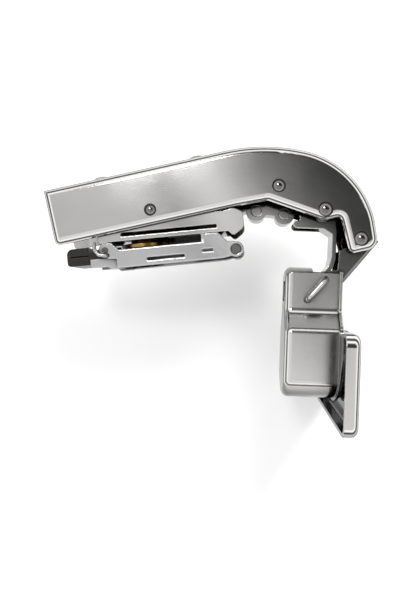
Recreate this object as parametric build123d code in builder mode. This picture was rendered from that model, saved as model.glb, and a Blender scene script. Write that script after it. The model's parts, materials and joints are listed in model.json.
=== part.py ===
from math import cos, hypot, radians, sin, sqrt
import os

from build123d import *

# Concealed cabinet hinge for a door that closes in line with the panel it hangs from.
# Frame: X points out of the cup's mouth, Y points away from the panel, Z runs along the pivots.
# The origin is midway between the two cup screws, on the flange's outer face. Units are mm.

# Frames of the two tilted groups, as the hinge stands fully open
panel_slope = 7.5
arm_slope = 14.5
tilt_pivot_x = -52.4
tilt_pivot_y = 40.1
tilt_pivot_height = 14.0

# Shared fits
sheet = 1.2
running_gap = 0.05
side_gap = 0.2
slack = 0.4

# Arm, in its own axes from the tilt pivot
arm_half_width = 10.0
arm_back = 11.0
arm_rear = -26.2
arm_belly = -4.0
arm_bend = 2.0
hump_start = 22.0
hump_radius = 48.0
hump_turn = 25.0
nose_radius = 24.0
nose_turn = 65.0
belly_peak = (30.1, -4.3)
throat_corner = (47.4, -12.4)
throat_left = 43.2
nose_floor = -22.4
nose_left = 47.6
nose_right = 55.7
driver_hole_radius = 3.0

# Pivots on the arm, in the arm's axes
rocker_pivot = (33.7, -1.1)
inner_pivot = (44.16, -9.64)
outer_pivot = (51.56, -19.02)

# Pivots in the cup, in the row's axes
cup_outer_pivot = (-6.4, 23.8)
cup_inner_pivot = (-10.95, 18.4)

# Left face of the inner link's strap, in the row's axes
strap = [(-10.5, 40.3), (-7.8, 37.7), (-4.7, 35.9), (-4.7, 29.9), (-5.3, 27.6), (-7.6, 24.4), (-9.6, 22.4)]

# Rivets
rivet_shaft = 1.15
rivet_head = 1.95
rivet_crown = 0.7
tilt_rivet_head = 1.6
spacer_radius = 2.5

# Cup
cup_radius = 17.5
cup_centre = 9.5
cup_bottom = -16.8
cup_wall = 0.8
cup_mouth = -1.0
rim_level = -2.8
rim_radius = 17.9
rim_sheet = 0.8
upper_flat = 7.5
lower_flat = 12.0
flat_step_top = 15.2
flat_step_bottom = 10.6
cup_bottom_bend = 1.8
pot_corner = 2.0
pot_valley = 2.5
lip_width = 0.8
notch_left = -9.6
neck_top = 10.9
window_length = 5.4
window_width = 9.0
window_centre = 20.4

# Cup flange
flange_top = 10.9
flange_bottom = -13.1
flange_half_length = 28.5
flange_rim = 3.6
flange_sheet = 1.0
flange_corner = 3.0
flange_bend = 1.6
screw_spacing = 45.0
screw_hole_radius = 2.2

# Staple pins
staple_radius = 0.85
staple_rise = 1.25
staple_bend = 1.3

# Links
outer_link_half_width = 6.4
inner_link_half_width = 5.0
link_sheet = 1.1
link_eye = 2.5
inner_eye_travel = 1.8
eye_gap = 0.2
outer_web_offset = 4.3
web_top = 2.9
link_shoulder = (-2.8, 31.5)
link_waist = (-3.1, 26.4)
web_fork = 8.8
hook_tip = (-15.1, 38.4)
hook_radius = 1.1

# Rocker with its two pins, in the arm's axes
rocker_half_width = 3.2
rocker_sheet = 1.0
rear_roller = (26.8, -5.4)
front_roller = (33.9, -7.9)
roller_radius = 1.4
wave_margin = 1.35
horn_left = 36.2
horn_height = 6.0
rocker_tab = 22.8
rocker_tab_half = 3.2

# Closing spring round the rocker's rivet
spring_radius = 1.9
spring_wire = 0.6
spring_turns = 4.5
spring_pitch = 0.85
spring_start = 1.1

# Damper in the arm
damper_height = 4.6
damper_radius = 3.1
damper_start = 17.2
damper_length = 13.0
damper_rod_radius = 1.0
damper_rod_head = 1.9

# Adjusting screws, in the arm's axes
screw_centre = 0.75
screw_reach = 13.25
screw_head_radius = 2.1
screw_head_height = 2.0
screw_shaft_radius = 1.7
front_screw_tip = -4.6
screw_clearance = 0.5

# Spiral cam, in the base's axes
cam_centre = -3.7
cam_radius = 6.5
cam_floor = 4.75
cam_thickness = 1.45
cam_hub_radius = 2.6
cam_shoulder_radius = 3.7
cam_hub_top = 7.8
spiral_pitch = 3.0
spiral_peg_radius = 4.0
spiral_groove = 0.75
spiral_depth = 0.85
peg_radius = 0.6
spiral_step = 18
spiral_steps = 11

# Carriage, in the base's axes
carriage_half_width = arm_half_width - sheet - slack
carriage_floor = 6.85
carriage_sheet = 1.0
carriage_rear = -14.4
carriage_front = 18.6
carriage_ear = 2.6
bridge_level = 11.5
bridge_rear = 10.8
bridge_front = 17.4
lobe_front = 23.7
slot_rear = -8.6
slot_front = 16.6
slot_height = 8.45
slot_half = 0.55
rear_screw_tip = carriage_floor + carriage_sheet + 2.15 - tilt_pivot_height

# Clip plate, in the base's axes
clip_half_width = 8.0
clip_sheet = 1.0
clip_rear = -10.2
clip_front = 18.2
clip_top = 4.65
ear_rear = 12.8
skirt_rear = -7.8
skirt_front = ear_rear - 1.7
skirt_low = clip_top + 0.3
ear_front = 16.6
ear_top = 6.8
hook_pin = (21.0, 2.0)
hook_pin_radius = 1.3

# Release lever, in the base's axes
lever_pin = (-13.0, 4.9)
lever_pin_radius = 0.7
lever_half_width = 6.6
latch_top = 2.9
grip_rear = -23.4
grip_front = -17.6
grip_top = 6.1
grip_bottom = 1.5
grip_crease = 3.9
latch_front = -8.6
wire_radius = 0.5
wire_side = 9.0
wire_line = [(-15.5, 7.1), (-15.4, 5.05), (-14.5, 3.75), (-12.6, 3.5)]


def tilted(x, y, slope):
    """Plane at (x, y) whose own x axis climbs by slope degrees and whose normal is the pivots'."""
    a = radians(slope)
    return Plane(origin=(x, y, 0), x_dir=(cos(a), sin(a), 0), z_dir=(0, 0, 1))


arm_plane = tilted(tilt_pivot_x, tilt_pivot_y, arm_slope)
base_plane = tilted(
    tilt_pivot_x + tilt_pivot_height * sin(radians(panel_slope)),
    tilt_pivot_y - tilt_pivot_height * cos(radians(panel_slope)),
    panel_slope,
)


def row_point(plane, point):
    """Row coordinates of a point given in a tilted plane's own axes."""
    p = plane.from_local_coords(Vector(point[0], point[1], 0))
    return (p.X, p.Y)


R2 = row_point(arm_plane, rocker_pivot)
R3 = row_point(arm_plane, inner_pivot)
R4 = row_point(arm_plane, outer_pivot)
P5 = cup_outer_pivot
P6 = cup_inner_pivot


def along(start, end, distance, side=0.0):
    """Point at a distance along start-end, set off to the left of it by side."""
    length = hypot(end[0] - start[0], end[1] - start[1])
    ux, uy = (end[0] - start[0]) / length, (end[1] - start[1]) / length
    return (start[0] + ux * distance - uy * side, start[1] + uy * distance + ux * side)


def dome_head(centre, level, head, crown):
    """Spherical cap of a rivet, standing on a level above or below the middle plane."""
    hand = 1 if level > 0 else -1
    dome = (head**2 + crown**2) / (2 * crown)
    with BuildPart() as cap:
        with Locations((centre[0], centre[1], level + hand * (crown - dome))):
            Sphere(dome)
        with Locations((centre[0], centre[1], level + hand * dome)):
            Cylinder(head, 2 * dome, mode=Mode.INTERSECT)
    return cap.part


def rivet(name, centre, head, reach=arm_half_width, shaft=rivet_shaft):
    """Plain shaft across the arm with a low domed head at each end."""
    with BuildPart() as body:
        with BuildSketch():
            with Locations(centre):
                Circle(shaft)
        extrude(amount=reach, both=True)
        add(dome_head(centre, reach, head, rivet_crown))
        add(dome_head(centre, -reach, head, rivet_crown))
    body.part.label = name
    return body


def mitred(points, distance):
    """The line through points, shifted to its left by distance with mitred corners."""
    shifted = [along(points[0], points[1], 0, distance)]
    for before, here, after in zip(points, points[1:], points[2:]):
        in_x, in_y = here[0] - before[0], here[1] - before[1]
        out_x, out_y = after[0] - here[0], after[1] - here[1]
        in_x, in_y = in_x / hypot(in_x, in_y), in_y / hypot(in_x, in_y)
        out_x, out_y = out_x / hypot(out_x, out_y), out_y / hypot(out_x, out_y)
        reach = distance / (1 + in_x * out_x + in_y * out_y)
        shifted.append((here[0] - (in_y + out_y) * reach, here[1] + (in_x + out_x) * reach))
    last = points[-1]
    shifted.append(along(last, points[-2], 0, -distance))
    return shifted


def corner(sketch, point):
    """Vertex of a sketch that lies nearest to a point given in the sketch's own axes."""
    return sketch.vertices().sort_by_distance(Vector(point[0], point[1], 0))[0]


def arm_back_line(inset):
    """Back of the arm inset from its outer face: a straight run, a long hump and the nose."""
    back = Line((arm_rear - (1 if inset else 0), arm_back - inset), (hump_start, arm_back - inset))
    hump = JernArc(back @ 1, back % 1, hump_radius - inset, -hump_turn)
    nose = JernArc(hump @ 1, hump % 1, nose_radius - inset, -nose_turn)
    return back, nose


def bend_edges(part, half_width, back_level):
    """Long edges where the arm's web turns into its side plates."""
    sides = part.edges().filter_by(lambda e: abs(abs(e.center().Z) - half_width) < 0.01)
    arcs = sides.filter_by(GeomType.CIRCLE).filter_by(lambda e: e.radius > nose_radius / 2)
    backs = sides.filter_by(GeomType.LINE).filter_by(
        lambda e: abs(arm_plane.to_local_coords(e.center()).Y - back_level) < 0.01
    )
    return arcs + backs


def strip_edges(part, low, high, half_width):
    """The two edges of a part that run from low to high at its outer faces."""
    middle = ((low[0] + high[0]) / 2, (low[1] + high[1]) / 2)
    return [
        part.edges().sort_by_distance((middle[0], middle[1], z))[0] for z in (-half_width, half_width)
    ]


def across(plane, point):
    """Plane at a point of a tilted plane, looking along that plane's own x axis."""
    return Plane(
        origin=plane.from_local_coords(Vector(point[0], point[1], 0)),
        x_dir=(0, 0, 1),
        z_dir=plane.x_dir,
    )


def upright(plane, point):
    """Plane at a point of a tilted plane, looking along that plane's own y axis."""
    return Plane(
        origin=plane.from_local_coords(Vector(point[0], point[1], 0)),
        x_dir=plane.x_dir,
        z_dir=plane.y_dir,
    )


def polar(radius, angle):
    """Point at a radius and an angle in degrees."""
    return (radius * cos(radians(angle)), radius * sin(radians(angle)))


def screw(name, reach, tip):
    """Adjusting screw through the arm's web with a low domed head and a cross recess."""
    with BuildPart() as body:
        with BuildSketch(upright(arm_plane, (reach, tip))):
            Circle(screw_shaft_radius)
        extrude(amount=arm_back - tip)
        chamfer(body.faces().sort_by(arm_up)[0].edges(), 0.3)
        with BuildSketch(upright(arm_plane, (reach, arm_back))):
            Circle(screw_head_radius)
        extrude(amount=screw_head_height)
        fillet(body.faces().sort_by(arm_up)[-1].edges(), 0.7)
        with BuildSketch(upright(arm_plane, (reach, arm_back + screw_head_height))):
            Rectangle(2.4, 0.7)
            Rectangle(0.7, 2.4)
        extrude(amount=-1.1, mode=Mode.SUBTRACT)
    body.part.label = name
    return body


def cup_plane(level):
    """Plane across the cup at a level, its own x axis up the row and its y axis along Z."""
    return Plane(origin=(level, 0, 0), x_dir=(0, 1, 0), z_dir=(1, 0, 0))


def pot_outline(inset):
    """Round pot cut by narrow flats above and wide flats below, shrunk by inset."""
    slope = hypot(flat_step_top - flat_step_bottom, lower_flat - upper_flat)
    shift = inset * (slope - (flat_step_top - flat_step_bottom)) / (lower_flat - upper_flat)
    far = 2 * cup_radius
    with BuildSketch() as outline:
        with Locations((cup_centre, 0)):
            Circle(cup_radius - inset)
        with BuildSketch(mode=Mode.INTERSECT):
            with BuildLine():
                Polyline(
                    (far, upper_flat - inset),
                    (flat_step_top - shift, upper_flat - inset),
                    (flat_step_bottom - shift, lower_flat - inset),
                    (-far, lower_flat - inset),
                    (-far, inset - lower_flat),
                    (flat_step_bottom - shift, inset - lower_flat),
                    (flat_step_top - shift, inset - upper_flat),
                    (far, inset - upper_flat),
                    close=True,
                )
            make_face()
        low = cup_centre - sqrt((cup_radius - inset) ** 2 - (lower_flat - inset) ** 2)
        for hand in (1, -1):
            valley = corner(outline, (flat_step_top - shift, hand * (upper_flat - inset)))
            fillet(valley, pot_valley + inset)
            shoulder = corner(outline, (flat_step_bottom - shift, hand * (lower_flat - inset)))
            fillet(shoulder, pot_corner - inset)
            fillet(corner(outline, (low, hand * (lower_flat - inset))), pot_corner - inset)
    return outline.sketch


def pot(inset, bottom, bend):
    """Body of the pot from a level up to the lip, its bottom edge rounded by bend."""
    with BuildPart() as body:
        with BuildSketch(cup_plane(bottom)):
            add(pot_outline(inset))
        extrude(amount=rim_level - bottom)
        floor_edges = body.edges().group_by(Axis.X)[0]
        fillet(floor_edges, bend)
    return body.part


def wire_point(u, v, z):
    """Point of a return wire, given in the base's axes, as row coordinates."""
    p = base_plane.from_local_coords(Vector(u, v, z))
    return (p.X, p.Y, p.Z)


back_plane = Plane(
    origin=arm_plane.from_local_coords(Vector(0, arm_back, 0)),
    x_dir=arm_plane.x_dir,
    z_dir=arm_plane.y_dir,
)

arm_up = Axis((0, 0, 0), arm_plane.y_dir)

os.makedirs("parts", exist_ok=True)

# Arm: one sheet folded to a channel, with the hump and the hooked nose in its side plates
with BuildPart() as hollow:
    with BuildSketch(arm_plane):
        with BuildLine():
            back, nose = arm_back_line(sheet)
            web_end = nose @ 1
            below = nose_floor - sheet
            Polyline(
                web_end,
                (web_end.X + 2 * sheet, web_end.Y),
                (web_end.X + 2 * sheet, below),
                (arm_rear - 1, below),
                back @ 0,
            )
        make_face()
    extrude(amount=arm_half_width - sheet, both=True)
    fillet(bend_edges(hollow, arm_half_width - sheet, arm_back - sheet), arm_bend - sheet)
with BuildPart() as arm_shell:
    with BuildSketch(arm_plane) as side:
        with BuildLine():
            back, nose = arm_back_line(0)
            Polyline(
                nose @ 1,
                (nose_right, nose_floor),
                (nose_left, nose_floor),
                throat_corner,
                (throat_left, throat_corner[1]),
                belly_peak,
                (hump_start, arm_belly),
                (arm_rear, arm_belly),
                back @ 0,
            )
        make_face()
        for point, radius in (
            ((nose_right, nose_floor), 3.2),
            ((nose_left, nose_floor), 1.6),
            (throat_corner, 0.8),
            ((throat_left, throat_corner[1]), 3.0),
            (belly_peak, 1.6),
            ((arm_rear, arm_belly), 1.6),
        ):
            fillet(corner(side, point), radius)
    extrude(amount=arm_half_width, both=True)
    fillet(bend_edges(arm_shell, arm_half_width, arm_back), arm_bend)
    add(hollow.part, mode=Mode.SUBTRACT)
    with BuildSketch(arm_plane):
        with Locations((0, 0), rocker_pivot, inner_pivot, outer_pivot):
            Circle(rivet_shaft)
    extrude(amount=arm_half_width, both=True, mode=Mode.SUBTRACT)
    with BuildSketch(back_plane):
        with Locations((screw_centre - screw_reach, 0), (screw_centre + screw_reach, 0)):
            Circle(screw_shaft_radius + running_gap)
        with Locations((cam_centre, 0)):
            Circle(driver_hole_radius)
    extrude(amount=-2 * sheet, mode=Mode.SUBTRACT)
arm_shell.part.label = "arm_shell"
export_step(arm_shell.part, "parts/arm_shell.step")

# Rivets across the arm; the tilt rivet's head lies lower and narrower than the others
tilt_rivet = rivet("tilt_rivet", (tilt_pivot_x, tilt_pivot_y), tilt_rivet_head)
export_step(tilt_rivet.part, "parts/tilt_rivet.step")
rocker_rivet = rivet("rocker_rivet", R2, rivet_head - 0.15)
export_step(rocker_rivet.part, "parts/rocker_rivet.step")
inner_link_rivet = rivet("inner_link_rivet", R3, rivet_head)
export_step(inner_link_rivet.part, "parts/inner_link_rivet.step")
outer_link_rivet = rivet("outer_link_rivet", R4, rivet_head)
export_step(outer_link_rivet.part, "parts/outer_link_rivet.step")

# Spacer bushes between the links and the arm's side plates
with BuildPart() as inner_link_spacers:
    with BuildSketch(Plane.XY.offset(inner_link_half_width + side_gap)):
        with Locations(R3):
            Circle(spacer_radius)
            Circle(rivet_shaft, mode=Mode.SUBTRACT)
    extrude(amount=arm_half_width - sheet - inner_link_half_width - side_gap)
    mirror(about=Plane.XY)
inner_link_spacers.part.label = "inner_link_spacers"
export_step(inner_link_spacers.part, "parts/inner_link_spacers.step")

with BuildPart() as outer_link_spacers:
    with BuildSketch(Plane.XY.offset(outer_link_half_width + side_gap)):
        with Locations(R4):
            Circle(spacer_radius)
            Circle(rivet_shaft, mode=Mode.SUBTRACT)
    extrude(amount=arm_half_width - sheet - outer_link_half_width - side_gap)
    mirror(about=Plane.XY)
outer_link_spacers.part.label = "outer_link_spacers"
export_step(outer_link_spacers.part, "parts/outer_link_spacers.step")

# Outer link: a channel open towards the cabinet, its web along the outside of its two pivots
web_low = along(P5, R4, 1.0, -outer_web_offset)
web_high = along(P5, R4, hypot(R4[0] - P5[0], R4[1] - P5[1]) + web_top, -outer_web_offset)
with BuildPart() as outer_link:
    with BuildSketch() as outline:
        with BuildLine():
            Polyline(
                (P5[0], P5[1] + link_eye - 0.3),
                link_waist,
                link_shoulder,
                (R4[0] - 2.4, R4[1] - 1.9),
                (R4[0] - 1.6, R4[1] + 2.6),
                (R4[0] + 1.6, R4[1] + 2.6),
                web_high,
                web_low,
                along(P5, R4, 0, -1.2),
                close=True,
            )
        make_face()
        with Locations(R4):
            Circle(link_eye + 0.6)
        with Locations(P5):
            Circle(link_eye - 0.3)
    extrude(amount=outer_link_half_width, both=True)
    fillet(strip_edges(outer_link, web_low, web_high, outer_link_half_width), 0.9)
    with BuildSketch():
        with BuildLine():
            inner_low = along(web_low, web_high, -6, link_sheet)
            inner_high = along(web_low, web_high, 26, link_sheet)
            Polyline(
                inner_low,
                inner_high,
                along(inner_high, inner_low, 0, -12),
                along(inner_low, inner_high, 0, 12),
                close=True,
            )
        make_face()
    extrude(amount=outer_link_half_width - link_sheet, both=True, mode=Mode.SUBTRACT)
    with BuildSketch():
        with BuildLine():
            Polyline(
                along(web_low, web_high, -1, -1),
                along(web_low, web_high, web_fork, -1),
                along(web_low, web_high, web_fork, link_sheet + 1),
                along(web_low, web_high, -1, link_sheet + 1),
                close=True,
            )
        make_face()
    extrude(amount=outer_link_half_width - link_sheet, both=True, mode=Mode.SUBTRACT)
    with BuildSketch():
        with Locations(R4):
            Circle(rivet_shaft + running_gap)
        with Locations(P5):
            Circle(staple_radius + running_gap)
    extrude(amount=outer_link_half_width, both=True, mode=Mode.SUBTRACT)
outer_link.part.label = "outer_link"
export_step(outer_link.part, "parts/outer_link.step")

# Inner link: a bent strap with side ears, a hooked tail, and an oblong eye on the arm's rivet
eye_far = along(P6, R3, hypot(R3[0] - P6[0], R3[1] - P6[1]) + inner_eye_travel)
with BuildPart() as inner_link:
    with BuildSketch():
        with BuildLine():
            Polyline(*strap, *reversed(mitred(strap, link_sheet)), close=True)
        make_face()
    extrude(amount=inner_link_half_width, both=True)
    with BuildSketch(Plane.XY.offset(inner_link_half_width - link_sheet)):
        with BuildLine():
            Polyline(
                (hook_tip[0] + hook_radius, hook_tip[1] - hook_radius),
                (strap[1][0] + 1.3, hook_tip[1] - hook_radius),
                strap[2],
                (strap[2][0] + 1.0, strap[2][1] + 0.4),
                (R3[0] + 3.2, R3[1] + 1.0),
                (R3[0], R3[1] + 3.0),
                (R3[0] - 3.0, R3[1] + 1.2),
                (hook_tip[0] + 2.0, hook_tip[1] + 2.9),
                (hook_tip[0] + hook_radius, hook_tip[1] + hook_radius),
                close=True,
            )
        make_face()
        with BuildLine():
            Polyline(
                strap[4],
                (strap[4][0] + 1.0, strap[4][1] - 0.5),
                (P6[0] + 2.0, P6[1] + 1.0),
                (P6[0] - 2.2, P6[1] + 0.8),
                strap[6],
                strap[5],
                close=True,
            )
        make_face()
        with Locations((hook_tip[0] + hook_radius, hook_tip[1])):
            Circle(hook_radius)
        with Locations(P6):
            Circle(link_eye - 0.1)
        with Locations(R3, eye_far):
            Circle(link_eye + 0.5)
        with Locations((hook_tip[0] + 0.9, hook_tip[1] + 1.5)):
            Circle(0.85, mode=Mode.SUBTRACT)
        with Locations(P6):
            Circle(staple_radius + running_gap, mode=Mode.SUBTRACT)
        with Locations(R3, eye_far):
            Circle(rivet_shaft + eye_gap, mode=Mode.SUBTRACT)
        with BuildLine():
            gap = rivet_shaft + eye_gap
            Polyline(
                along(R3, eye_far, 0, gap),
                along(R3, eye_far, inner_eye_travel, gap),
                along(R3, eye_far, inner_eye_travel, -gap),
                along(R3, eye_far, 0, -gap),
                close=True,
            )
        make_face(mode=Mode.SUBTRACT)
    extrude(amount=link_sheet)
    mirror(about=Plane.XY)
inner_link.part.label = "inner_link"
export_step(inner_link.part, "parts/inner_link.step")

# Two adjusting screws with cross recesses: the rear one locks, the front one tilts the arm
lock_screw = screw("lock_screw", screw_centre - screw_reach, rear_screw_tip)
export_step(lock_screw.part, "parts/lock_screw.step")
side_screw = screw("side_screw", screw_centre + screw_reach, front_screw_tip)
export_step(side_screw.part, "parts/side_screw.step")

# Damper: a moulded cylinder hung from the arm's web by a rib, with a sliding rod
damper_plane = across(arm_plane, (damper_start, damper_height))
with BuildPart() as damper_housing:
    with BuildSketch(damper_plane):
        Circle(damper_radius)
    extrude(amount=damper_length)
    with BuildSketch(arm_plane):
        with Locations((damper_start + 2.4, (damper_height + arm_back - sheet) / 2)):
            Rectangle(4.2, arm_back - sheet - damper_height)
    extrude(amount=1.5, both=True)
    with BuildSketch(damper_plane.offset(damper_length)):
        Circle(damper_rod_radius + running_gap)
    extrude(amount=-9, mode=Mode.SUBTRACT)
damper_housing.part.label = "damper_housing"
export_step(damper_housing.part, "parts/damper_housing.step")

with BuildPart() as damper_rod:
    with BuildSketch(damper_plane.offset(damper_length - 5)):
        Circle(damper_rod_radius)
    extrude(amount=horn_left - 0.3 - 1 - damper_start - damper_length + 5)
    with BuildSketch(damper_plane.offset(horn_left - 0.3 - 1 - damper_start)):
        Circle(damper_rod_head)
    extrude(amount=1)
damper_rod.part.label = "damper_rod"
export_step(damper_rod.part, "parts/damper_rod.step")

# Wave-edged rocker on the second rivet: a folded lever with a rear tab and a horn for the damper
with BuildSketch() as wave:
    with BuildLine():
        Polyline(
            (rear_roller[0] - 2.3, rear_roller[1] + 2.4),
            (rear_roller[0] - 2.3, rear_roller[1] - 0.6),
            (rear_roller[0], rear_roller[1] - 1.2),
            ((rear_roller[0] + front_roller[0]) / 2, front_roller[1] + 0.5),
            (front_roller[0], front_roller[1] - 1.2),
            (front_roller[0] + 2.5, front_roller[1] + 1.0),
            (rocker_pivot[0] + 3.5, rocker_pivot[1]),
            (horn_left + rocker_sheet, horn_height),
            (horn_left, horn_height),
            (horn_left, rocker_pivot[1] + 3.4),
            (rocker_pivot[0] - 1.5, rocker_pivot[1] + 2.4),
            (rear_roller[0] + 1.5, rear_roller[1] + 3.6),
            close=True,
        )
    make_face()
    with Locations(rear_roller, front_roller):
        Circle(roller_radius + wave_margin)
    fillet(corner(wave, ((rear_roller[0] + front_roller[0]) / 2, front_roller[1] + 0.5)), 1.2)
with BuildPart() as rocker:
    with BuildSketch(arm_plane):
        add(wave.sketch)
    extrude(amount=rocker_half_width, both=True)
    with BuildSketch(arm_plane):
        add(wave.sketch)
        offset(amount=-rocker_sheet)
    extrude(amount=rocker_half_width - rocker_sheet, both=True, mode=Mode.SUBTRACT)
    with BuildSketch(arm_plane):
        with Locations(((rear_roller[0] + front_roller[0]) / 2, rear_roller[1] + 4.4)):
            Rectangle(front_roller[0] - rear_roller[0], 5.2)
    extrude(amount=rocker_half_width - rocker_sheet, both=True, mode=Mode.SUBTRACT)
    with BuildSketch(arm_plane):
        with Locations(((rocker_tab + rear_roller[0] - 1.4) / 2, rear_roller[1] + 0.9)):
            Rectangle(rear_roller[0] - 1.4 - rocker_tab, rocker_sheet)
    extrude(amount=rocker_tab_half, both=True)
    with BuildSketch(arm_plane):
        with Locations(rear_roller, front_roller):
            Circle(roller_radius)
        with Locations(rocker_pivot):
            Circle(rivet_shaft + running_gap)
    extrude(amount=rocker_half_width, both=True, mode=Mode.SUBTRACT)
rocker.part.label = "rocker"
export_step(rocker.part, "parts/rocker.step")

# Closing springs: a wound coil round the second rivet on each side of the rocker
with BuildPart() as closing_springs:
    coil_start = Plane(
        origin=(R2[0], R2[1], rocker_half_width + spring_start),
        x_dir=-arm_plane.y_dir,
    )
    with BuildLine(coil_start) as wind:
        Helix(spring_pitch, spring_pitch * spring_turns, spring_radius)
    with BuildSketch(Plane(origin=wind.line @ 0, z_dir=wind.line % 0)):
        Circle(spring_wire / 2)
    sweep(is_frenet=True)
    mirror(about=Plane.XY)
closing_springs.part.label = "closing_springs"
export_step(closing_springs.part, "parts/closing_springs.step")

# Roller pins across the rocker
for name, centre in (("rear_roller_pin", rear_roller), ("front_roller_pin", front_roller)):
    with BuildPart() as pin:
        with BuildSketch(arm_plane):
            with Locations(centre):
                Circle(roller_radius)
        extrude(amount=rocker_half_width + 0.15, both=True)
        chamfer(pin.edges().filter_by(GeomType.CIRCLE), 0.12)
    pin.part.label = name
    export_step(pin.part, "parts/" + name + ".step")

# Carriage: a sheet tray whose walls stand inside the arm's side plates
wall_z = carriage_half_width - carriage_sheet
with BuildPart() as carriage:
    with BuildSketch(base_plane):
        with Locations(((carriage_rear + carriage_front) / 2, carriage_floor + carriage_sheet / 2)):
            Rectangle(carriage_front - carriage_rear, carriage_sheet)
    extrude(amount=carriage_half_width, both=True)
    with BuildSketch(base_plane):
        with Locations(((bridge_rear + bridge_front) / 2, bridge_level - carriage_sheet / 2)):
            Rectangle(bridge_front - bridge_rear, carriage_sheet)
    extrude(amount=carriage_half_width, both=True)
    with BuildSketch(base_plane.offset(wall_z)) as wall:
        with BuildLine():
            Polyline(
                (carriage_rear, carriage_floor),
                (carriage_rear, 8.4),
                (carriage_rear + 2.4, 10.2),
                (-carriage_ear, tilt_pivot_height - 1.6),
                (-carriage_ear, tilt_pivot_height),
                (carriage_ear, tilt_pivot_height),
                (carriage_ear + 0.6, bridge_level + 0.6),
                (carriage_front, bridge_level + 0.6),
                (lobe_front - 2.4, 12.7),
                (lobe_front, 11.4),
                (lobe_front, 7.6),
                (lobe_front - 3.0, carriage_floor - 1.3),
                (carriage_front + 0.8, carriage_floor),
                close=True,
            )
        make_face()
        for point, radius in (
            ((lobe_front - 2.4, 12.7), 1.0),
            ((lobe_front, 11.4), 1.6),
            ((lobe_front, 7.6), 2.2),
            ((lobe_front - 3.0, carriage_floor - 1.3), 0.9),
        ):
            fillet(corner(wall, point), radius)
        with Locations((0, tilt_pivot_height)):
            Circle(carriage_ear)
        with Locations((0, tilt_pivot_height)):
            Circle(rivet_shaft + running_gap, mode=Mode.SUBTRACT)
        with Locations(((slot_rear + slot_front) / 2, slot_height)):
            SlotOverall(slot_front - slot_rear, 2 * slot_half, mode=Mode.SUBTRACT)
    extrude(amount=carriage_sheet)
    mirror(about=Plane.XY)
    with BuildSketch(base_plane.offset(-carriage_half_width)):
        with Locations(((skirt_rear + skirt_front) / 2, (carriage_floor + skirt_low) / 2)):
            Rectangle(skirt_front - skirt_rear, carriage_floor - skirt_low)
    extrude(amount=carriage_sheet)
    with BuildSketch(upright(base_plane, (cam_centre, carriage_floor))):
        Circle(cam_hub_radius + running_gap)
    extrude(amount=carriage_sheet, mode=Mode.SUBTRACT)
    with BuildSketch(upright(arm_plane, (screw_centre + screw_reach, front_screw_tip - screw_clearance))):
        Circle(screw_shaft_radius + screw_clearance)
    extrude(amount=2.5, mode=Mode.SUBTRACT)
carriage.part.label = "carriage"
export_step(carriage.part, "parts/carriage.step")

# Spiral cam: a disc between the clip plate and the carriage, its hub up through the carriage
spiral = [(spiral_peg_radius + spiral_pitch * step * spiral_step / 360, step * spiral_step)
          for step in range(-spiral_steps, spiral_steps + 1)]
outer_side = [polar(radius + spiral_groove, angle) for radius, angle in spiral]
inner_side = [polar(radius - spiral_groove, angle) for radius, angle in spiral]
with BuildPart() as spiral_cam:
    with BuildSketch(upright(base_plane, (cam_centre, cam_floor))):
        Circle(cam_radius)
    extrude(amount=cam_thickness)
    chamfer(spiral_cam.edges().filter_by(GeomType.CIRCLE), 0.25)
    with BuildSketch(upright(base_plane, (cam_centre, cam_floor + cam_thickness))):
        Circle(cam_shoulder_radius)
    extrude(amount=carriage_floor - running_gap - cam_floor - cam_thickness)
    with BuildSketch(upright(base_plane, (cam_centre, cam_floor + cam_thickness))):
        Circle(cam_hub_radius)
    extrude(amount=cam_hub_top - cam_floor - cam_thickness)
    with BuildSketch(upright(base_plane, (cam_centre, cam_hub_top))):
        Rectangle(3.2, 0.8)
        Rectangle(0.8, 3.2)
    extrude(amount=-1.4, mode=Mode.SUBTRACT)
    with BuildSketch(upright(base_plane, (cam_centre, cam_floor))):
        with BuildLine():
            Spline(*outer_side)
            Line(outer_side[-1], inner_side[-1])
            Spline(*reversed(inner_side))
            Line(inner_side[0], outer_side[0])
        make_face()
    extrude(amount=spiral_depth, mode=Mode.SUBTRACT)
spiral_cam.part.label = "spiral_cam"
export_step(spiral_cam.part, "parts/spiral_cam.step")

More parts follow.
